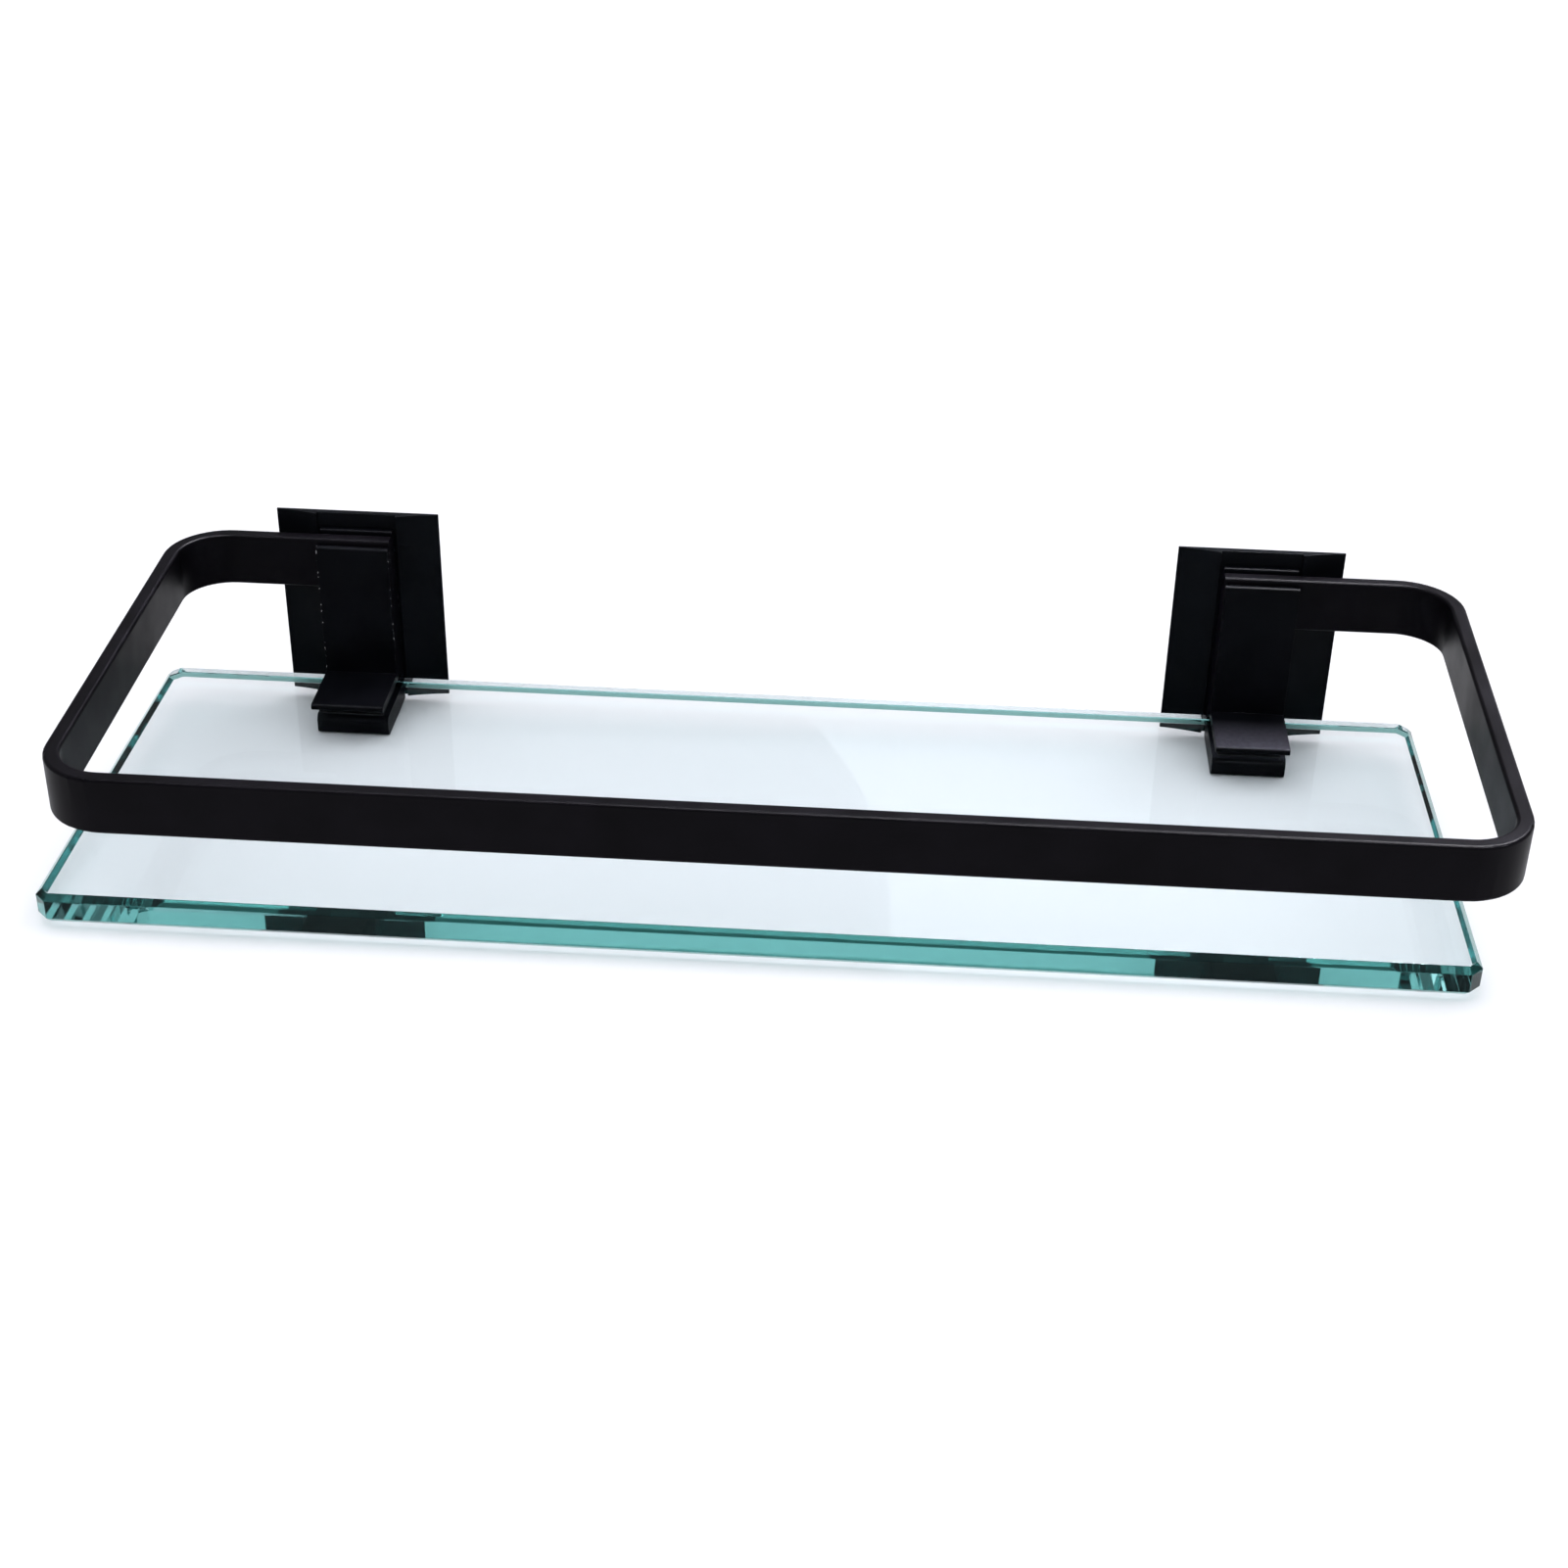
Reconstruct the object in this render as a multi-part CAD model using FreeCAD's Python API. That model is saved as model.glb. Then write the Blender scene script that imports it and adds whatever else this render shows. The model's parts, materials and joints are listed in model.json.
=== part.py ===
import FreeCAD, Part

import os

# Wall shelf: a glass pane held by two aluminium clips, with a guard rail around it.
# Millimetres. X runs along the shelf, -Y comes out of the wall, +Z is up.
# The origin is the centre of the four wall fixings, on the wall.

# Glass pane
GLASS_LENGTH = 350.0
GLASS_DEPTH = 120.0
GLASS_THICKNESS = 8.0
GLASS_BEVEL = 1.5
GLASS_CORNER_CUT = 3.0
GLASS_SHIFT = -5.3            # the pane stands this far along X from the middle of the clips
GLASS_DROP = 13.7             # from the centre of the wall fixings down to the top of the pane

# Wall plates, one behind each clip, with a flat channel between two dished wings
BRACKET_INSET = 51.0          # from each end of a centred pane to the middle of a clip
PLATE_WIDTH = 45.0
PLATE_HEIGHT = 61.0
PLATE_ABOVE_RAIL = 5.2
CHANNEL_WIDTH = 22.0
CHANNEL_THICKNESS = 2.0
WING_ROOT_THICKNESS = 3.1
WING_TIP_THICKNESS = 0.6
WING_DISH = 0.3              # how far a wing's face sinks below a straight line

# Cleats that the clips hang on, with a dovetail section
CLEAT_WIDTH = 15.0
CLEAT_BACK_WIDTH = 12.0
CLEAT_HEIGHT = 24.0
CLEAT_THICKNESS = 2.0
CLEAT_CLEARANCE = 0.25

# Wall screws, two in each cleat
FIXING_RISE = 14.0            # between the two screws of one cleat
WALL_SCREW_LENGTH = 30.0
WALL_THREAD_RADIUS = 2.0
WALL_SHANK_RADIUS = 1.5
WALL_HEAD_RADIUS = 3.7
WALL_HOLE_RADIUS = 2.25
WALL_POINT = 4.0
RECESS_WIDTH = 0.9
RECESS_DEPTH = 1.2

# Clips: a rail slot at the top and a mouth for the glass at the bottom
CLIP_WIDTH = 20.0
LEG_THICKNESS = 2.0
BACK_LEG_ABOVE_RAIL = 1.1
FRONT_LEG_BELOW_RAIL = 1.6
LEG_EDGE_RADIUS = 0.7
SLIDE_GAP = 0.1               # between a clip and the wall plate that it slides on
MOUTH_WALL = 1.2              # metal left between the cleat's channel and the mouth
MOUTH_GAP = 0.3               # behind the pane's back edge
LIP_REACH = 19.2              # upper lip, out from the front leg
LIP_ROOT = 2.3
LIP_TIP = 1.9
LIP_TIP_RADIUS = 0.8
LOWER_LIP_BACK_SET = 4.8      # the lower lip is this much shorter than the upper one
LOWER_LIP_THICKNESS = 5.8
LOWER_LIP_RADIUS = 1.6
LOWER_LIP_TOP_RADIUS = 2.0

# Guard rail, a flat bar bent into a loop that is open between the clips. At the back the loop
# is as wide as the pane is long.
RAIL_FRONT_NARROWER = 5.6     # the loop's width in front, less than at the back
RAIL_SHIFT = 1.4              # the loop stands this far along X from the middle of the clips
RAIL_AHEAD_OF_GLASS = 14.1    # from the pane's front edge to the rail's outer front face
RAIL_THICKNESS = 4.0
RAIL_HEIGHT = 14.8
RAIL_ABOVE_GLASS = 27.9
RAIL_BEND_RADIUS = 16.0       # outside of the bends
RAIL_EDGE_RADIUS = 0.9
RAIL_SLOT_CLEARANCE = 0.1

# Screws that hold each end of the rail in its clip
RAIL_SCREW_SPACING = 10.0
RAIL_SCREW_RADIUS = 1.5
RAIL_HEAD_RADIUS = 2.75
RAIL_SCREW_SHORT = 0.4        # its end stays this far inside the rail's front face
HEAD_SINK = 0.1
THREAD_CLEARANCE = 0.05

# Pads, pressure disc and clamping screw in each mouth
PAD_THICKNESS = 0.5
PAD_SIDE_MARGIN = 1.5
PAD_END_MARGIN = 1.2
DISC_RADIUS = 4.0
DISC_CLEARANCE = 0.3
CLAMP_SCREW_RADIUS = 2.5
CLAMP_SCREW_LENGTH = 5.5
CLAMP_KEY_SIZE = 2.5          # across the flats of its hexagon socket
CLAMP_KEY_DEPTH = 2.2

# Heights
glass_top = -GLASS_DROP
glass_bottom = glass_top - GLASS_THICKNESS
rail_bottom = glass_top + RAIL_ABOVE_GLASS
rail_top = rail_bottom + RAIL_HEIGHT
rail_middle = rail_bottom + RAIL_HEIGHT / 2
plate_top = rail_top + PLATE_ABOVE_RAIL
plate_bottom = plate_top - PLATE_HEIGHT
cleat_top = CLEAT_HEIGHT / 2
mouth_top = glass_top + PAD_THICKNESS
mouth_bottom = glass_bottom - PAD_THICKNESS
clip_bottom = mouth_bottom - LOWER_LIP_THICKNESS

# Distances out from the wall
cleat_front = CHANNEL_THICKNESS + CLEAT_THICKNESS
clip_back = CHANNEL_THICKNESS + SLIDE_GAP
rail_back = clip_back + LEG_THICKNESS
slot_front = rail_back + RAIL_THICKNESS + RAIL_SLOT_CLEARANCE
clip_front = slot_front + LEG_THICKNESS
groove_front = cleat_front + CLEAT_CLEARANCE
mouth_back = groove_front + MOUTH_WALL
glass_back = mouth_back + MOUTH_GAP
glass_front = glass_back + GLASS_DEPTH
lip_front = clip_front + LIP_REACH
lower_lip_front = lip_front - LOWER_LIP_BACK_SET
clamp_out = (mouth_back + lower_lip_front) / 2
pad_back = mouth_back + PAD_END_MARGIN
pad_front = lower_lip_front - PAD_END_MARGIN
rail_front = glass_front + RAIL_AHEAD_OF_GLASS

# Along the shelf
clip_place = GLASS_LENGTH / 2 - BRACKET_INSET
rail_back_half = GLASS_LENGTH / 2
rail_front_half = (GLASS_LENGTH - RAIL_FRONT_NARROWER) / 2
bracket_places = {"left": -clip_place, "right": clip_place}


def at(x, out, z):
    """A point given by its distance out from the wall."""
    return FreeCAD.Vector(x, -out, z)


def block(x, width, out_back, out_front, z_low, z_high):
    """A box centred on x."""
    corner = at(x - width / 2, out_front, z_low)
    return Part.makeBox(width, out_front - out_back, z_high - z_low, corner)


def side_prism(x, width, outline):
    """A side outline of (out, z) corners, extruded along X and centred on x."""
    corners = [at(x - width / 2, out, z) for out, z in outline]
    face = Part.Face(Part.makePolygon(corners + corners[:1]))
    return face.extrude(FreeCAD.Vector(width, 0, 0))


def plan_prism(outline, z_low, z_high):
    """A plan outline of (x, out) corners, extruded up from z_low."""
    corners = [at(x, out, z_low) for x, out in outline]
    face = Part.Face(Part.makePolygon(corners + corners[:1]))
    return face.extrude(FreeCAD.Vector(0, 0, z_high - z_low))


def round_long_edges(solid, corners, radius):
    """Round the edges along X that pass through the given (out, z) corners."""
    def on_corner(edge):
        ends = [vertex.Point for vertex in edge.Vertexes]
        return len(ends) == 2 and any(
            all(abs(-p.y - out) < 1e-4 and abs(p.z - z) < 1e-4 for p in ends)
            for out, z in corners
        )

    return solid.makeFillet(radius, [edge for edge in solid.Edges if on_corner(edge)])


def turned(x, z, outline):
    """A round solid about the line along Y through (x, z), from (radius, out) corners."""
    corners = [at(x + radius, out, z) for radius, out in outline]
    face = Part.Face(Part.makePolygon(corners + corners[:1]))
    return face.revolve(at(x, 0, z), FreeCAD.Vector(0, 1, 0), 360)


def upright_cylinder(x, out, z_low, z_high, radius):
    """A cylinder along Z."""
    return Part.makeCylinder(radius, z_high - z_low, at(x, out, z_low), FreeCAD.Vector(0, 0, 1))


def fixing_heights():
    """Heights of the two screws of one cleat."""
    return [-FIXING_RISE / 2, FIXING_RISE / 2]


def rail_screw_places(x):
    """Where the two screws of one rail end stand along X."""
    return [x - RAIL_SCREW_SPACING / 2, x + RAIL_SCREW_SPACING / 2]


def wing_plate(x):
    """Plate against the wall: a flat channel between two wings that thin towards their tips."""
    half, channel = PLATE_WIDTH / 2, CHANNEL_WIDTH / 2
    wing_middle = (half + channel) / 2
    wing_rise = (WING_ROOT_THICKNESS + WING_TIP_THICKNESS) / 2 - WING_DISH

    def spot(across, out):
        return at(x + across, out, plate_bottom)

    def wing_face(side):
        return Part.Arc(
            spot(side * half, WING_TIP_THICKNESS),
            spot(side * wing_middle, wing_rise),
            spot(side * channel, WING_ROOT_THICKNESS),
        ).toShape()

    edges = [
        Part.makeLine(spot(-half, 0), spot(-half, WING_TIP_THICKNESS)),
        wing_face(-1),
        Part.makeLine(spot(-channel, WING_ROOT_THICKNESS), spot(-channel, CHANNEL_THICKNESS)),
        Part.makeLine(spot(-channel, CHANNEL_THICKNESS), spot(channel, CHANNEL_THICKNESS)),
        Part.makeLine(spot(channel, CHANNEL_THICKNESS), spot(channel, WING_ROOT_THICKNESS)),
        wing_face(1),
        Part.makeLine(spot(half, WING_TIP_THICKNESS), spot(half, 0)),
        Part.makeLine(spot(half, 0), spot(-half, 0)),
    ]
    section = Part.Face(Part.Wire(Part.__sortEdges__(edges)))
    plate = section.extrude(FreeCAD.Vector(0, 0, PLATE_HEIGHT))
    for z in fixing_heights():
        hole = [(0, -1), (WALL_HOLE_RADIUS, -1), (WALL_HOLE_RADIUS, CHANNEL_THICKNESS + 1)]
        plate = plate.cut(turned(x, z, hole + [(0, CHANNEL_THICKNESS + 1)]))
    return plate


def wall_cleat(x):
    """Dovetail cleat with two countersunk holes."""
    back, front = CLEAT_BACK_WIDTH / 2, CLEAT_WIDTH / 2
    outline = [
        (x - back, CHANNEL_THICKNESS),
        (x - front, cleat_front),
        (x + front, cleat_front),
        (x + back, CHANNEL_THICKNESS),
    ]
    cleat = plan_prism(outline, -cleat_top, cleat_top)
    sink_radius = WALL_HEAD_RADIUS + THREAD_CLEARANCE
    sink_depth = sink_radius - WALL_HOLE_RADIUS
    for z in fixing_heights():
        hole = [
            (0, 0),
            (WALL_HOLE_RADIUS, 0),
            (WALL_HOLE_RADIUS, cleat_front - sink_depth),
            (sink_radius, cleat_front),
            (sink_radius, cleat_front + 1),
            (0, cleat_front + 1),
        ]
        cleat = cleat.cut(turned(x, z, hole))
    return cleat


def wall_screw(x, z):
    """Countersunk screw with a cross recess, from the cleat's face into the wall."""
    head_height = WALL_HEAD_RADIUS - WALL_SHANK_RADIUS
    thread_start = -CLEAT_CLEARANCE
    point_end = cleat_front - WALL_SCREW_LENGTH
    outline = [
        (0, cleat_front),
        (WALL_HEAD_RADIUS, cleat_front),
        (WALL_SHANK_RADIUS, cleat_front - head_height),
        (WALL_SHANK_RADIUS, thread_start),
        (WALL_THREAD_RADIUS, thread_start),
        (WALL_THREAD_RADIUS, point_end + WALL_POINT),
        (0, point_end),
    ]
    screw = turned(x, z, outline)
    floor, reach = cleat_front - RECESS_DEPTH, WALL_HEAD_RADIUS * 1.1
    for width, height in [(reach, RECESS_WIDTH), (RECESS_WIDTH, reach)]:
        bar = block(x, width, floor, cleat_front + 1, z - height / 2, z + height / 2)
        screw = screw.cut(bar)
    return screw


def rail_screw_outline(grow, reach):
    """Half outline of a rail screw, or of its hole when it is grown by a clearance."""
    head_face = clip_back + HEAD_SINK if grow == 0 else clip_back - 1
    head_radius = RAIL_HEAD_RADIUS + grow
    shank_radius = RAIL_SCREW_RADIUS + grow
    cone_start = clip_back + HEAD_SINK
    return [
        (0, head_face),
        (head_radius, head_face),
        (head_radius, cone_start),
        (shank_radius, cone_start + head_radius - shank_radius),
        (shank_radius, reach),
        (0, reach),
    ]


def rail_screw(x):
    """Countersunk screw from the back leg of a clip into the end of the rail."""
    outline = rail_screw_outline(0, rail_back + RAIL_THICKNESS - RAIL_SCREW_SHORT)
    screw = turned(x, rail_middle, outline[:1] + outline[2:])
    face = clip_back + HEAD_SINK
    socket = block(
        x, RAIL_SCREW_RADIUS, face - 1, face + RECESS_DEPTH / 2,
        rail_middle - RAIL_SCREW_RADIUS / 2, rail_middle + RAIL_SCREW_RADIUS / 2,
    )
    return screw.cut(socket)


def rail_screw_holes(x):
    """The space that the two screws of one rail end need in the clip and in the rail."""
    outline = rail_screw_outline(THREAD_CLEARANCE, rail_back + RAIL_THICKNESS - RAIL_SCREW_SHORT / 2)
    first, second = [turned(place, rail_middle, outline) for place in rail_screw_places(x)]
    return first.fuse(second)


def glass_clip(x):
    """Clip cut from one extrusion: back leg, rail slot, front leg, and a mouth with two lips."""
    back_leg_top = rail_top + BACK_LEG_ABOVE_RAIL
    front_leg_top = rail_top - FRONT_LEG_BELOW_RAIL
    outline = [
        (clip_back, clip_bottom),
        (clip_back, back_leg_top),
        (rail_back, back_leg_top),
        (rail_back, rail_bottom),
        (slot_front, rail_bottom),
        (slot_front, front_leg_top),
        (clip_front, front_leg_top),
        (clip_front, mouth_top + LIP_ROOT),
        (lip_front, mouth_top + LIP_TIP),
        (lip_front, mouth_top),
        (mouth_back, mouth_top),
        (mouth_back, mouth_bottom),
        (lower_lip_front, mouth_bottom),
        (lower_lip_front, clip_bottom),
    ]
    clip = side_prism(x, CLIP_WIDTH, outline)
    leg_edges = [
        (clip_back, back_leg_top),
        (rail_back, back_leg_top),
        (slot_front, front_leg_top),
        (clip_front, front_leg_top),
    ]
    clip = round_long_edges(clip, leg_edges, LEG_EDGE_RADIUS)
    clip = round_long_edges(
        clip, [(lip_front, mouth_top + LIP_TIP), (lip_front, mouth_top)], LIP_TIP_RADIUS
    )
    clip = round_long_edges(clip, [(lower_lip_front, mouth_bottom)], LOWER_LIP_TOP_RADIUS)
    clip = round_long_edges(clip, [(lower_lip_front, clip_bottom)], LOWER_LIP_RADIUS)

    slope = (CLEAT_WIDTH - CLEAT_BACK_WIDTH) / 2 / CLEAT_THICKNESS
    front = CLEAT_WIDTH / 2 + CLEAT_CLEARANCE
    back = front - slope * (groove_front - clip_back + 1)
    groove = plan_prism(
        [
            (x - back, clip_back - 1),
            (x - front, groove_front),
            (x + front, groove_front),
            (x + back, clip_back - 1),
        ],
        clip_bottom - 1,
        cleat_top,
    )
    clip = clip.cut(groove)
    clip = clip.cut(rail_screw_holes(x))
    thread = upright_cylinder(
        x, clamp_out, clip_bottom - 1, mouth_bottom + 1, CLAMP_SCREW_RADIUS + THREAD_CLEARANCE
    )
    return clip.cut(thread)


def pad(x, z_low):
    """Thin pad that fills the gap between a lip and the pane."""
    width = CLIP_WIDTH - 2 * PAD_SIDE_MARGIN
    return block(x, width, pad_back, pad_front, z_low, z_low + PAD_THICKNESS)


def lower_pad(x):
    """Pad on the lower lip, with a hole for the pressure disc."""
    hole = upright_cylinder(
        x, clamp_out, mouth_bottom - 1, glass_bottom + 1, DISC_RADIUS + DISC_CLEARANCE
    )
    return pad(x, mouth_bottom).cut(hole)


def pressure_disc(x):
    """Disc between the clamping screw and the underside of the pane."""
    return upright_cylinder(x, clamp_out, mouth_bottom, glass_bottom, DISC_RADIUS)


def clamp_screw(x):
    """Grub screw in the lower lip, with a hexagon socket in its lower end."""
    low = mouth_bottom - CLAMP_SCREW_LENGTH
    screw = upright_cylinder(x, clamp_out, low, mouth_bottom, CLAMP_SCREW_RADIUS)
    across_corners = CLAMP_KEY_SIZE / 3 ** 0.5
    half = CLAMP_KEY_SIZE / 2
    hexagon = [
        (x - across_corners, clamp_out),
        (x - across_corners / 2, clamp_out + half),
        (x + across_corners / 2, clamp_out + half),
        (x + across_corners, clamp_out),
        (x + across_corners / 2, clamp_out - half),
        (x - across_corners / 2, clamp_out - half),
    ]
    return screw.cut(plan_prism(hexagon, low - 1, low + CLAMP_KEY_DEPTH))


def guard_rail():
    """Flat bar with rounded edges, bent into a loop whose ends stand in the two clips."""
    corners = [
        at(RAIL_SHIFT + x, out, rail_bottom)
        for x, out in [
            (-rail_back_half, rail_back),
            (rail_back_half, rail_back),
            (rail_front_half, rail_front),
            (-rail_front_half, rail_front),
        ]
    ]
    core = Part.Face(Part.makePolygon(corners + corners[:1])).makeOffset2D(-RAIL_BEND_RADIUS)
    outside = core.makeOffset2D(RAIL_BEND_RADIUS)
    inside = core.makeOffset2D(RAIL_BEND_RADIUS - RAIL_THICKNESS)
    upwards = FreeCAD.Vector(0, 0, RAIL_HEIGHT)
    loop = outside.extrude(upwards).cut(inside.extrude(upwards))
    level = [edge for edge in loop.Edges if edge.BoundBox.ZLength < 1e-4]
    loop = loop.makeFillet(RAIL_EDGE_RADIUS, level)
    gap = block(
        0,
        2 * clip_place - CLIP_WIDTH,
        rail_back - 1,
        rail_back + RAIL_THICKNESS + 1,
        rail_bottom - 1,
        rail_top + 1,
    )
    loop = loop.cut(gap)
    for x in bracket_places.values():
        loop = loop.cut(rail_screw_holes(x))
    return loop


def glass_pane():
    """Pane with its corners cut off and all its long edges bevelled."""
    half, cut = GLASS_LENGTH / 2, GLASS_CORNER_CUT
    outline = []
    for side, out, inward in [
        (-1, glass_back, 1), (-1, glass_front, -1), (1, glass_front, -1), (1, glass_back, 1)
    ]:
        on_end = (GLASS_SHIFT + side * half, out + inward * cut)
        on_long_edge = (GLASS_SHIFT + side * (half - cut), out)
        outline += [on_long_edge, on_end] if side * inward < 0 else [on_end, on_long_edge]
    pane = plan_prism(outline, glass_bottom, glass_top)
    level = [edge for edge in pane.Edges if edge.BoundBox.ZLength < 1e-4]
    return pane.makeChamfer(GLASS_BEVEL, level)


nodes = {"guard_rail": guard_rail(), "glass_pane": glass_pane()}
for name, place in bracket_places.items():
    nodes["wing_plate_" + name] = wing_plate(place)
    nodes["wall_cleat_" + name] = wall_cleat(place)
    nodes["wall_screws_" + name] = Part.Compound([wall_screw(place, z) for z in fixing_heights()])
    nodes["glass_clip_" + name] = glass_clip(place)
    nodes["rail_screws_" + name] = Part.Compound([rail_screw(x) for x in rail_screw_places(place)])
    nodes["upper_pad_" + name] = pad(place, glass_top)
    nodes["lower_pad_" + name] = lower_pad(place)
    nodes["pressure_disc_" + name] = pressure_disc(place)
    nodes["clamp_screw_" + name] = clamp_screw(place)

os.makedirs("parts", exist_ok=True)
for name, shape in nodes.items():
    shape.exportStep("parts/" + name + ".step")
    print(name, len(shape.Solids), round(shape.Volume, 1), shape.isValid())
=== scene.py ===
import json
from math import atan, pi, radians

import bmesh
import bpy
from mathutils import Matrix, Vector

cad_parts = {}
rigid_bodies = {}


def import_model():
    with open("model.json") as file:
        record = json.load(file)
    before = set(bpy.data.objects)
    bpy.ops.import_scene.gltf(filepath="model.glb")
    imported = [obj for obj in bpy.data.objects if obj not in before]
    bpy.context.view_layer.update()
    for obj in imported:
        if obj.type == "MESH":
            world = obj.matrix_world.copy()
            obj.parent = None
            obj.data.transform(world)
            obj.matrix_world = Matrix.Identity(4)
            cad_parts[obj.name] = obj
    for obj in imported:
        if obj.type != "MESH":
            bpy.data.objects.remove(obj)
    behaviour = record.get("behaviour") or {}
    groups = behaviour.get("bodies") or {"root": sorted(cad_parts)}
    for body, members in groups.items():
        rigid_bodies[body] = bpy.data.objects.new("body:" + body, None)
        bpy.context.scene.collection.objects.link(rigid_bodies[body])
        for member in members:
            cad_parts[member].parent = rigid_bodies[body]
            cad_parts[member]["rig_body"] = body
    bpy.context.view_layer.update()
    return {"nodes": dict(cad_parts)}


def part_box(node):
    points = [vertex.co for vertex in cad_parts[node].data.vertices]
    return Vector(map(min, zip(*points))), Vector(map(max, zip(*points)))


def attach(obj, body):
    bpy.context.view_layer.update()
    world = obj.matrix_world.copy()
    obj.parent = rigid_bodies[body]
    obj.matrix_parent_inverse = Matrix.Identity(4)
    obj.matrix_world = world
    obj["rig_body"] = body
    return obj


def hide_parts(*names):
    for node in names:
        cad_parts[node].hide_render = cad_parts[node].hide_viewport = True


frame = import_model()

# ---------------------------------------------------------------------------
# Stage. The shelf lies on a white table, on the undersides of its clips with the pane's front
# edge just clear of it, so the table slopes a little against the pane. A white room is round it,
# with a large soft lamp overhead and a smaller one behind on the right.
# ---------------------------------------------------------------------------
scene = bpy.context.scene
scene.view_settings.view_transform = "Standard"
scene.cycles.max_bounces = 40
scene.cycles.glossy_bounces = 32
scene.cycles.transmission_bounces = 32
scene.cycles.transparent_max_bounces = 16
scene.cycles.use_denoising = True

# The table slopes so gently that the pane clears it even when it is drawn out of the clips.
clip_low, clip_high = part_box("glass_clip_left")
pane_low, pane_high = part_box("glass_pane")
table_half = 4.0
table_gap = 0.0001
foot_inset = 0.006
pane_travel = 0.020
clip_rest = Vector((0, clip_low.y + foot_inset, clip_low.z - table_gap))
front_edge = Vector((0, pane_low.y - pane_travel, pane_low.z - table_gap))
slope = (front_edge.z - clip_rest.z) / (clip_rest.y - front_edge.y)
table_mesh = bmesh.new()
bmesh.ops.create_grid(table_mesh, x_segments=1, y_segments=1, size=table_half)
bmesh.ops.rotate(table_mesh, verts=table_mesh.verts, matrix=Matrix.Rotation(-atan(slope), 3, "X"))
bmesh.ops.translate(table_mesh, verts=table_mesh.verts, vec=clip_rest)
table_data = bpy.data.meshes.new("table_top")
table_mesh.to_mesh(table_data)
table_mesh.free()
table_top = bpy.data.objects.new("table_top", table_data)
scene.collection.objects.link(table_top)

table_paint = bpy.data.materials.new("white_table")
table_paint.use_nodes = True
table_shader = table_paint.node_tree.nodes["Principled BSDF"]
table_shader.inputs["Base Color"].default_value = (0.93, 0.93, 0.93, 1)
table_shader.inputs["Roughness"].default_value = 0.9
table_shader.inputs["Specular IOR Level"].default_value = 0.0
table_data.materials.append(table_paint)


def ranged(tree, value, from_low, from_high, to_low=0.0, to_high=1.0, curve="LINEAR"):
    """The value mapped from one range to another, and held there."""
    node = tree.nodes.new("ShaderNodeMapRange")
    node.interpolation_type = curve
    node.inputs["From Min"].default_value = from_low
    node.inputs["From Max"].default_value = from_high
    node.inputs["To Min"].default_value = to_low
    node.inputs["To Max"].default_value = to_high
    tree.links.new(value, node.inputs["Value"])
    return node.outputs["Result"]


def maths(tree, operation, *values, clamp=False):
    """Values from other nodes, or plain numbers, put together."""
    node = tree.nodes.new("ShaderNodeMath")
    node.operation = operation
    node.use_clamp = clamp
    for socket, value in zip(node.inputs, values):
        if isinstance(value, float):
            socket.default_value = value
        else:
            tree.links.new(value, socket)
    return node.outputs["Value"]


def split_axes(tree, vector):
    """The X, Y and Z sockets of a vector."""
    node = tree.nodes.new("ShaderNodeSeparateXYZ")
    tree.links.new(vector, node.inputs["Vector"])
    return node.outputs


# A direction in the room is a unit vector, and the glow grows with its height, which is its Z.
cool_white = (1.0, 1.0, 1.055)
glow_start, glow_full = 0.45, 0.80
wall_glow, ceiling_glow, backdrop_glow = 0.28, 1.68, 0.95
room = bpy.data.worlds.new("white_room")
room.use_nodes = True
room_tree = room.node_tree
sky = room_tree.nodes["Background"]
sky.inputs["Color"].default_value = (*cool_white, 1)
direction = room_tree.nodes.new("ShaderNodeTexCoord").outputs["Generated"]
height = split_axes(room_tree, direction)["Z"]
room_glow = ranged(room_tree, height, glow_start, glow_full, wall_glow, ceiling_glow, "SMOOTHSTEP")


def reflector(way, inner, outer, power):
    """The brightness of a round reflector that stands one way, with a soft rim."""
    towards = room_tree.nodes.new("ShaderNodeVectorMath")
    towards.operation = "DOT_PRODUCT"
    towards.inputs[1].default_value = way
    room_tree.links.new(direction, towards.inputs[0])
    return ranged(room_tree, towards.outputs["Value"], outer, inner, 0.0, power, "SMOOTHSTEP")


# Two small bright reflectors, one behind on the right and one overhead, show only as a sheen and
# as thin lines of light on the black parts. Past the table the backdrop is plain white.
rear_reflector = reflector(way=(0.360, 0.390, 0.848), inner=0.990, outer=0.970, power=150.0)
overhead_reflector = reflector(way=(0.100, -0.296, 0.950), inner=0.995, outer=0.985, power=110.0)
sheen = maths(room_tree, "ADD", rear_reflector, overhead_reflector)
ray = room_tree.nodes.new("ShaderNodeLightPath").outputs
mirrored, scattered = ray["Is Reflection Ray"], ray["Is Diffuse Ray"]
in_sheen = maths(room_tree, "SUBTRACT", mirrored, scattered, clamp=True)
room_glow = maths(room_tree, "MULTIPLY_ADD", sheen, in_sheen, room_glow)
room_glow = maths(room_tree, "MULTIPLY_ADD", ray["Is Camera Ray"], backdrop_glow, room_glow)
room_tree.links.new(room_glow, sky.inputs["Strength"])
scene.world = room


def soft_lamp(name, place, size, power):
    """A rectangular soft box that faces the middle of the shelf."""
    shelf_middle = Vector((0.0, -0.05, 0.0))
    data = bpy.data.lights.new(name, "AREA")
    data.shape = "RECTANGLE"
    data.size, data.size_y = size
    data.energy = power
    data.color = cool_white
    lamp = bpy.data.objects.new(name, data)
    lamp.location = place
    lamp.rotation_mode = "QUATERNION"
    lamp.rotation_quaternion = (shelf_middle - Vector(place)).to_track_quat("-Z", "Y")
    scene.collection.objects.link(lamp)


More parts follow.
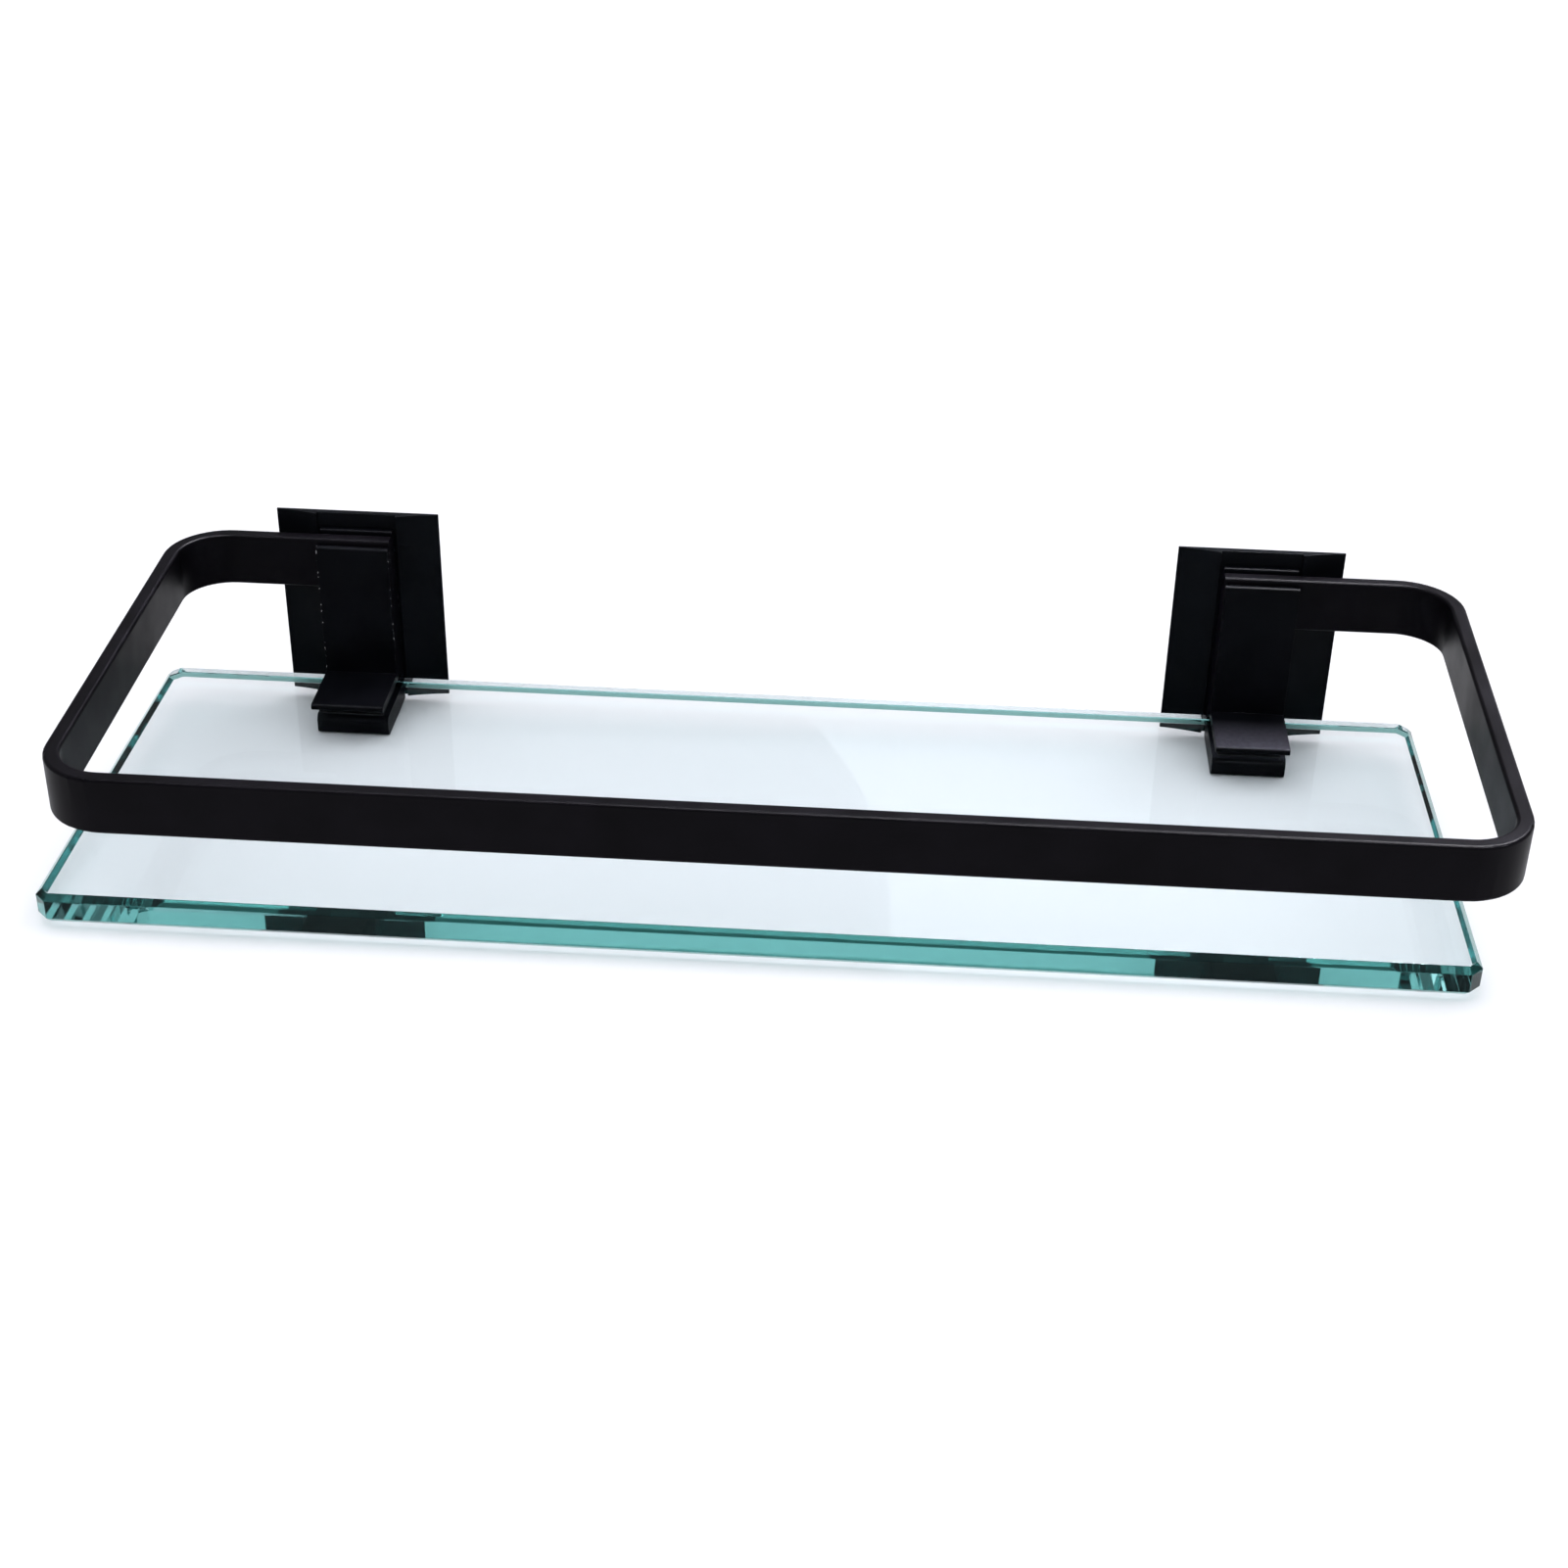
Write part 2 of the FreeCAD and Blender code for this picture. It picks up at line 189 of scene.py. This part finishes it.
soft_lamp("overhead_lamp", place=(0.0, 0.0, 1.6), size=(1.4, 1.0), power=3.0)
soft_lamp("rear_lamp", place=(0.6, 0.9, 1.3), size=(0.8, 0.8), power=2.0)

# The camera stands in front, a little to the right, and looks down at about thirty degrees.
look_down = radians(30.91)
look_left = radians(3.50)
tilt = radians(0.966)
camera_data = bpy.data.cameras.new("camera")
camera_data.sensor_width = 36.0
camera_data.lens = 55.95
camera_data.clip_start = 0.01
camera = bpy.data.objects.new("camera", camera_data)
camera.location = (0.0324, -0.6070, 0.3170)
camera.rotation_mode = "QUATERNION"
camera.rotation_quaternion = (
    Matrix.Rotation(look_left, 3, "Z")
    @ Matrix.Rotation(pi / 2 - look_down, 3, "X")
    @ Matrix.Rotation(tilt, 3, "Z")
).to_quaternion()
scene.collection.objects.link(camera)
scene.camera = camera

# ---------------------------------------------------------------------------
# Wall plates. Each is sawn from a black anodised aluminium extrusion with a flat channel and two
# dished wings. Its sawn edges are eased by the blasting before it is anodised.
# ---------------------------------------------------------------------------
sides = ("left", "right")
most_noise = (0.3, 0.7)


def eased_copy(node, name, ease):
    """A merged copy of a CAD part with its sharp edges eased, riding where the part rides."""
    same_place = 1e-6
    flat_angle = radians(0.4)
    sharp_angle = radians(25)
    form = bmesh.new()
    form.from_mesh(frame["nodes"][node].data)
    bmesh.ops.remove_doubles(form, verts=form.verts, dist=same_place)
    bmesh.ops.dissolve_limit(form, angle_limit=flat_angle, verts=form.verts, edges=form.edges)
    sharp = [
        edge for edge in form.edges if edge.is_manifold and edge.calc_face_angle() > sharp_angle
    ]
    bmesh.ops.bevel(
        form, geom=sharp, offset=ease, offset_type="OFFSET", segments=3, profile=0.5,
        affect="EDGES", material=-1, clamp_overlap=True,
    )
    data = bpy.data.meshes.new(name)
    form.to_mesh(data)
    form.free()
    data.shade_smooth()
    piece = bpy.data.objects.new(name, data)
    scene.collection.objects.link(piece)
    weighted = piece.modifiers.new("flat_faces", "WEIGHTED_NORMAL")
    weighted.weight = 100
    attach(piece, frame["nodes"][node]["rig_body"])
    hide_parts(node)
    return piece


def new_finish(name):
    """A material with its node tree, its shader and its object-space coordinates."""
    finish = bpy.data.materials.new(name)
    finish.use_nodes = True
    tree = finish.node_tree
    place = tree.nodes.new("ShaderNodeTexCoord").outputs["Object"]
    return finish, tree, tree.nodes["Principled BSDF"], place


def noise(tree, place, size, detail=2.0, stretch=(1, 1, 1)):
    """Noise with features of about the given size in metres, stretched along some axes."""
    mapping = tree.nodes.new("ShaderNodeMapping")
    mapping.inputs["Scale"].default_value = [1 / (size * longer) for longer in stretch]
    texture = tree.nodes.new("ShaderNodeTexNoise")
    texture.inputs["Scale"].default_value = 1.0
    texture.inputs["Detail"].default_value = detail
    tree.links.new(place, mapping.inputs["Vector"])
    tree.links.new(mapping.outputs["Vector"], texture.inputs["Vector"])
    return texture.outputs["Fac"]


def mixed(tree, factor, *colours):
    """Two colours, each a plain one or one from another node, mixed by a factor."""
    node = tree.nodes.new("ShaderNodeMix")
    node.data_type = "RGBA"
    tree.links.new(factor, node.inputs["Factor"])
    for socket, colour in zip("AB", colours):
        if isinstance(colour, tuple):
            node.inputs[socket].default_value = (*colour, 1)
        else:
            tree.links.new(colour, node.inputs[socket])
    return node.outputs["Result"]


def scaled(colour, factor):
    """A darker or paler version of a colour."""
    return tuple(channel * factor for channel in colour)


def edge_mask(tree, radius):
    """One along edges and zero on the flats, from how far a rounded normal turns."""
    rounded = tree.nodes.new("ShaderNodeBevel")
    rounded.samples = 4
    rounded.inputs["Radius"].default_value = radius
    true = tree.nodes.new("ShaderNodeNewGeometry")
    dot = tree.nodes.new("ShaderNodeVectorMath")
    dot.operation = "DOT_PRODUCT"
    tree.links.new(rounded.outputs["Normal"], dot.inputs[0])
    tree.links.new(true.outputs["True Normal"], dot.inputs[1])
    return ranged(tree, dot.outputs["Value"], 0.97, 0.80)


def bumped(tree, shader, height, depth):
    """Gives the shader a bump of the given depth in metres."""
    bump = tree.nodes.new("ShaderNodeBump")
    bump.inputs["Distance"].default_value = depth
    tree.links.new(height, bump.inputs["Height"])
    tree.links.new(bump.outputs["Normal"], shader.inputs["Normal"])


def black_anodised(name, shade, drawn_along, chipped_heights=None):
    """Satin black anodising over a blasted extrusion, drawn along one axis, with worn edges."""
    finish, tree, shader, place = new_finish(name)
    drawn = [40 if axis == drawn_along else 1 for axis in "XYZ"]
    cloud = noise(tree, place, 0.012)
    grain = noise(tree, place, 0.00022)
    lines = noise(tree, place, 0.0004, stretch=drawn)
    edge = edge_mask(tree, 0.0005)
    colour = mixed(tree, ranged(tree, cloud, *most_noise), scaled(shade, 0.75), scaled(shade, 1.25))
    if chipped_heights:
        lowest, highest = chipped_heights
        height = split_axes(tree, place)["Z"]
        above = maths(tree, "GREATER_THAN", height, lowest)
        below = maths(tree, "LESS_THAN", height, highest)
        spots = ranged(tree, noise(tree, place, 0.0008, 3), 0.62, 0.64)
        chips = maths(tree, "MULTIPLY", edge, spots)
        chips = maths(tree, "MULTIPLY", chips, maths(tree, "MULTIPLY", above, below))
        bare_metal = (0.85, 0.85, 0.86)
        colour = mixed(tree, chips, colour, bare_metal)
    tree.links.new(colour, shader.inputs["Base Color"])
    cloudy = ranged(tree, cloud, *most_noise, 0.34, 0.42)
    edge_polish = ranged(tree, edge, 0.0, 1.0, 0.0, -0.08)
    tree.links.new(maths(tree, "ADD", cloudy, edge_polish), shader.inputs["Roughness"])
    shader.inputs["Specular IOR Level"].default_value = 0.04
    grain = maths(tree, "MULTIPLY", grain, 0.6)
    lines = maths(tree, "MULTIPLY", lines, 0.4)
    bumped(tree, shader, maths(tree, "ADD", grain, lines), 0.000012)
    return finish


plate_shade = (0.0026, 0.0032, 0.0044)
plate_finish = black_anodised("plate_anodising", plate_shade, drawn_along="Z")
for side in sides:
    plate = eased_copy("wing_plate_" + side, "wall_plate_" + side, ease=0.00012)
    plate.data.materials.append(plate_finish)

# ---------------------------------------------------------------------------
# Wall cleats. Stainless steel strip, pressed to a dovetail section and brushed along its height,
# screwed over the plates. The clips hang on them.
# ---------------------------------------------------------------------------


def bright_metal(name, colour, roughness, grain_size, stretch=(1, 1, 1)):
    """Bare or plated metal with a fine grain and a cloudy colour."""
    finish, tree, shader, place = new_finish(name)
    grain = noise(tree, place, grain_size, 3, stretch)
    cloud = ranged(tree, noise(tree, place, 0.006), 0.3, 0.6)
    tree.links.new(mixed(tree, cloud, scaled(colour, 0.8), colour), shader.inputs["Base Color"])
    gloss = ranged(tree, grain, *most_noise, roughness * 0.8, roughness * 1.25)
    tree.links.new(gloss, shader.inputs["Roughness"])
    shader.inputs["Metallic"].default_value = 1.0
    bumped(tree, shader, grain, 0.00001)
    return finish


brushed_upright = (1, 1, 60)
cleat_finish = bright_metal(
    "brushed_stainless", colour=(0.62, 0.62, 0.61), roughness=0.3, grain_size=0.00025,
    stretch=brushed_upright,
)
for side in sides:
    cleat = eased_copy("wall_cleat_" + side, "hanging_cleat_" + side, ease=0.00015)
    cleat.data.materials.append(cleat_finish)

# ---------------------------------------------------------------------------
# Wall screws. Zinc-plated steel wood screws with countersunk heads and a cross recess, driven
# through the cleats and plates into the wall. Behind the plates a sharp thread is rolled round
# the thinner shank, up to the point.
# ---------------------------------------------------------------------------
zinc_finish = bright_metal(
    "bright_zinc", colour=(0.52, 0.53, 0.56), roughness=0.22, grain_size=0.0005
)
thread_root = 0.00135
thread_crest = 0.0020
thread_pitch = 0.0018
thread_start = 0.0012
thread_stop = 0.0012
ridge_foot = thread_root * 0.95
ridge_half = 0.0005
point_length = 0.004
plate_back = 0.0001
shank_reach = 0.003
steps_a_turn = 20


def add_wood_thread(form, axis_x, axis_z, tip):
    """Slims the shank behind the wall plate and winds a sharp ridge round it, up to the point."""
    def from_axis(vert):
        return Vector((vert.co.x - axis_x, 0, vert.co.z - axis_z))

    for vert in form.verts:
        spoke = from_axis(vert)
        if vert.co.y > plate_back and spoke.length < shank_reach:
            vert.co -= spoke * (1 - thread_root / thread_crest)
    ridge = [
        form.verts.new((axis_x + radius, thread_start + along, axis_z))
        for radius, along in (
            (ridge_foot, -ridge_half),
            (ridge_foot, ridge_half),
            (thread_crest, 0),
        )
    ]
    start_face = form.faces.new(ridge)
    before = set(form.faces) - {start_face}
    turns = (tip - thread_stop - thread_start) / thread_pitch
    steps = round(turns * steps_a_turn)
    bmesh.ops.spin(
        form, geom=[start_face, *start_face.edges, *start_face.verts],
        cent=(axis_x, 0, axis_z), axis=(0, 1, 0), dvec=(0, thread_pitch / steps_a_turn, 0),
        angle=steps / steps_a_turn * 2 * pi, steps=steps, use_merge=False, use_duplicate=False,
    )
    wound = [face for face in form.faces if face not in before]
    bmesh.ops.recalc_face_normals(form, faces=wound)
    point_start = tip - point_length
    for vert in {vert for face in wound for vert in face.verts}:
        if vert.co.y > point_start:
            vert.co -= from_axis(vert) * min(1, (vert.co.y - point_start) / point_length)


for side in sides:
    screws = eased_copy("wall_screws_" + side, "fixing_screws_" + side, ease=0.0001)
    screws_low, screws_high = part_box("wall_screws_" + side)
    head_radius = (screws_high.x - screws_low.x) / 2
    middle_x = (screws_low.x + screws_high.x) / 2
    form = bmesh.new()
    form.from_mesh(screws.data)
    for middle_z in (screws_low.z + head_radius, screws_high.z - head_radius):
        add_wood_thread(form, middle_x, middle_z, screws_high.y)
    form.to_mesh(screws.data)
    form.free()
    screws.data.materials.append(zinc_finish)

# ---------------------------------------------------------------------------
# Glass clips. Each is sawn from one black anodised aluminium extrusion: a back leg, a slot for
# the rail, a front leg and a mouth with two lips. Tiny chips of bare metal show on the left one.
# ---------------------------------------------------------------------------
clip_shade = (0.0018, 0.0020, 0.0030)
chipped_heights = (clip_low.z + 0.018, clip_high.z)
left_finish = black_anodised(
    "left_clip_anodising", clip_shade, drawn_along="X", chipped_heights=chipped_heights
)
right_finish = black_anodised("right_clip_anodising", clip_shade, drawn_along="X")


def paint_lip_sheen(finish, sheen_start, sheen_full, sheen_height):
    """Paints a sheen into the colour of the top of a clip's upper lip, paler towards its tip and in
    places more than in others: a painted highlight.
    """
    tree = finish.node_tree
    base_colour = tree.nodes["Principled BSDF"].inputs["Base Color"]
    anodised = base_colour.links[0].from_socket
    coordinates = tree.nodes.new("ShaderNodeTexCoord").outputs
    place = split_axes(tree, coordinates["Object"])
    facing_up = split_axes(tree, coordinates["Normal"])["Z"]
    sheen_breakup = noise(tree, coordinates["Object"], 0.0012, 3)
    painted_sheen = ranged(tree, place["Y"], sheen_start, sheen_full)
    for limit in (
        ranged(tree, facing_up, 0.7, 0.98),
        maths(tree, "LESS_THAN", place["Z"], sheen_height),
        ranged(tree, sheen_breakup, *most_noise, 0.7, 1.0),
    ):
        painted_sheen = maths(tree, "MULTIPLY", painted_sheen, limit)
    # The pale colour of the painted highlight on the lip.
    sheen_colour = (0.055, 0.054, 0.068)
    tree.links.new(mixed(tree, painted_sheen, anodised, sheen_colour), base_colour)


# The right clip's upper lip gets a painted sheen: a highlight painted into the colour of its top.
paint_lip_sheen(
    right_finish, sheen_start=clip_low.y + 0.015, sheen_full=clip_low.y + 0.003,
    sheen_height=pane_high.z + 0.005,
)
for side, clip_finish in zip(sides, (left_finish, right_finish)):
    clip = eased_copy("glass_clip_" + side, "shelf_clip_" + side, ease=0.00018)
    clip.data.materials.append(clip_finish)

# ---------------------------------------------------------------------------
# Guard rail. A flat aluminium bar with rounded edges, bent at its four corners and anodised
# black. Its two ends stand in the slots of the clips.
# ---------------------------------------------------------------------------
rail_shade = (0.0030, 0.0026, 0.0038)
rail_finish = black_anodised("rail_anodising", rail_shade, drawn_along="Z")
rail = eased_copy("guard_rail", "rail_bar", ease=0.00015)
rail.data.materials.append(rail_finish)

# ---------------------------------------------------------------------------
# Rail screws. Small zinc-plated steel screws with countersunk heads. Two go through the back leg
# of each clip into the end of the rail, so that it can't slide out of its slot.
# ---------------------------------------------------------------------------
for side in sides:
    screws = eased_copy("rail_screws_" + side, "rail_end_screws_" + side, ease=0.00008)
    screws.data.materials.append(zinc_finish)

# ---------------------------------------------------------------------------
# Clamping screws and their pressure discs. A black grub screw in each lower lip presses a small
# nylon disc against the pane.
# ---------------------------------------------------------------------------


def dull_finish(name, dark, pale, gloss_size, smoothest, roughest, grain_size, depth):
    """A finish that isn't metal, cloudy in colour and in gloss, with a fine grain."""
    finish, tree, shader, place = new_finish(name)
    tree.links.new(mixed(tree, noise(tree, place, 0.003), dark, pale), shader.inputs["Base Color"])
    gloss = ranged(tree, noise(tree, place, gloss_size), *most_noise, smoothest, roughest)
    tree.links.new(gloss, shader.inputs["Roughness"])
    bumped(tree, shader, noise(tree, place, grain_size), depth)
    return finish, shader


black_oxide = bright_metal(
    "black_oxide", colour=(0.05, 0.05, 0.055), roughness=0.4, grain_size=0.0005
)
nylon, nylon_shader = dull_finish(
    "natural_nylon", dark=(0.78, 0.77, 0.72), pale=(0.86, 0.86, 0.83), gloss_size=0.0006,
    smoothest=0.4, roughest=0.55, grain_size=0.0004, depth=0.00001,
)
nylon_shader.inputs["Subsurface Weight"].default_value = 0.2
nylon_shader.inputs["Subsurface Radius"].default_value = (0.001, 0.001, 0.001)
for side in sides:
    grub = eased_copy("clamp_screw_" + side, "grub_screw_" + side, ease=0.00015)
    grub.data.materials.append(black_oxide)
    disc = eased_copy("pressure_disc_" + side, "grub_disc_" + side, ease=0.0001)
    disc.data.materials.append(nylon)

# ---------------------------------------------------------------------------
# Pads. Thin black rubber sheet, cut to size and stuck to the lips. It keeps their metal off the
# pane and grips it.
# ---------------------------------------------------------------------------
rubber, rubber_shader = dull_finish(
    "black_rubber", dark=(0.010, 0.010, 0.011), pale=(0.018, 0.018, 0.019), gloss_size=0.0007,
    smoothest=0.6, roughest=0.8, grain_size=0.0003, depth=0.00002,
)
rubber_shader.inputs["Specular IOR Level"].default_value = 0.2
for side in sides:
    for level in ("upper", "lower"):
        sheet = eased_copy(f"{level}_pad_{side}", f"{level}_rubber_{side}", ease=0.0001)
        sheet.data.materials.append(rubber)

# ---------------------------------------------------------------------------
# Pane. Clear tempered float glass with cut corners, and edges ground to a bevel above and below and
# polished. Its iron content makes long paths through it green. Its edge facets also get a painted
# teal tint, darker on the bevels: painted colour and shade for light that runs lengthwise inside
# the glass.
# ---------------------------------------------------------------------------
# Painted light: the ground edges are tinted teal and the bevels a darker teal, painted colour and
# shade for light that has run lengthwise through the glass.
face_tint = (0.947, 0.949, 0.958)
painted_edge_colour = (0.30, 0.59, 0.56)
painted_bevel_shade = (0.05, 0.18, 0.16)
clear_glass, tree, shader, place = new_finish("float_glass")
shader.inputs["Transmission Weight"].default_value = 1.0
shader.inputs["IOR"].default_value = 1.52
shader.inputs["Specular Tint"].default_value = (0.15, 0.30, 0.30, 1)
facing = tree.nodes.new("ShaderNodeTexCoord").outputs["Normal"]
levelness = maths(tree, "ABSOLUTE", split_axes(tree, facing)["Z"])
on_edge = ranged(tree, levelness, 0.95, 0.85)
painted_edge_tint = mixed(tree, ranged(tree, levelness, 0.2, 0.6), painted_edge_colour, painted_bevel_shade)
tree.links.new(mixed(tree, on_edge, face_tint, painted_edge_tint), shader.inputs["Base Color"])
ground_across = (12, 12, 1)
grind = noise(tree, place, 0.0008, 2, ground_across)
haze = maths(tree, "MULTIPLY", on_edge, ranged(tree, grind, 0.4, 0.7, 0.0, 0.06))
tree.links.new(haze, shader.inputs["Roughness"])
bumped(tree, shader, maths(tree, "MULTIPLY", on_edge, grind), 0.000004)
absorb = tree.nodes.new("ShaderNodeVolumeAbsorption")
absorb.inputs["Color"].default_value = (0.07, 0.57, 0.57, 1)
absorb.inputs["Density"].default_value = 7.0
output = tree.nodes["Material Output"]
tree.links.new(absorb.outputs["Volume"], output.inputs["Volume"])

# The lamps' light goes straight through the glass, a little tinted, so its shadow is pale.
lamp_light = tree.nodes.new("ShaderNodeBsdfTransparent")
lamp_light.inputs["Color"].default_value = (0.86, 0.90, 0.91, 1)
light_path = tree.nodes.new("ShaderNodeLightPath")
either = tree.nodes.new("ShaderNodeMixShader")
tree.links.new(light_path.outputs["Is Shadow Ray"], either.inputs["Fac"])
tree.links.new(shader.outputs["BSDF"], either.inputs[1])
tree.links.new(lamp_light.outputs["BSDF"], either.inputs[2])
tree.links.new(either.outputs["Shader"], output.inputs["Surface"])
pane = eased_copy("glass_pane", "shelf_pane", ease=0.0001)
pane.data.materials.append(clear_glass)
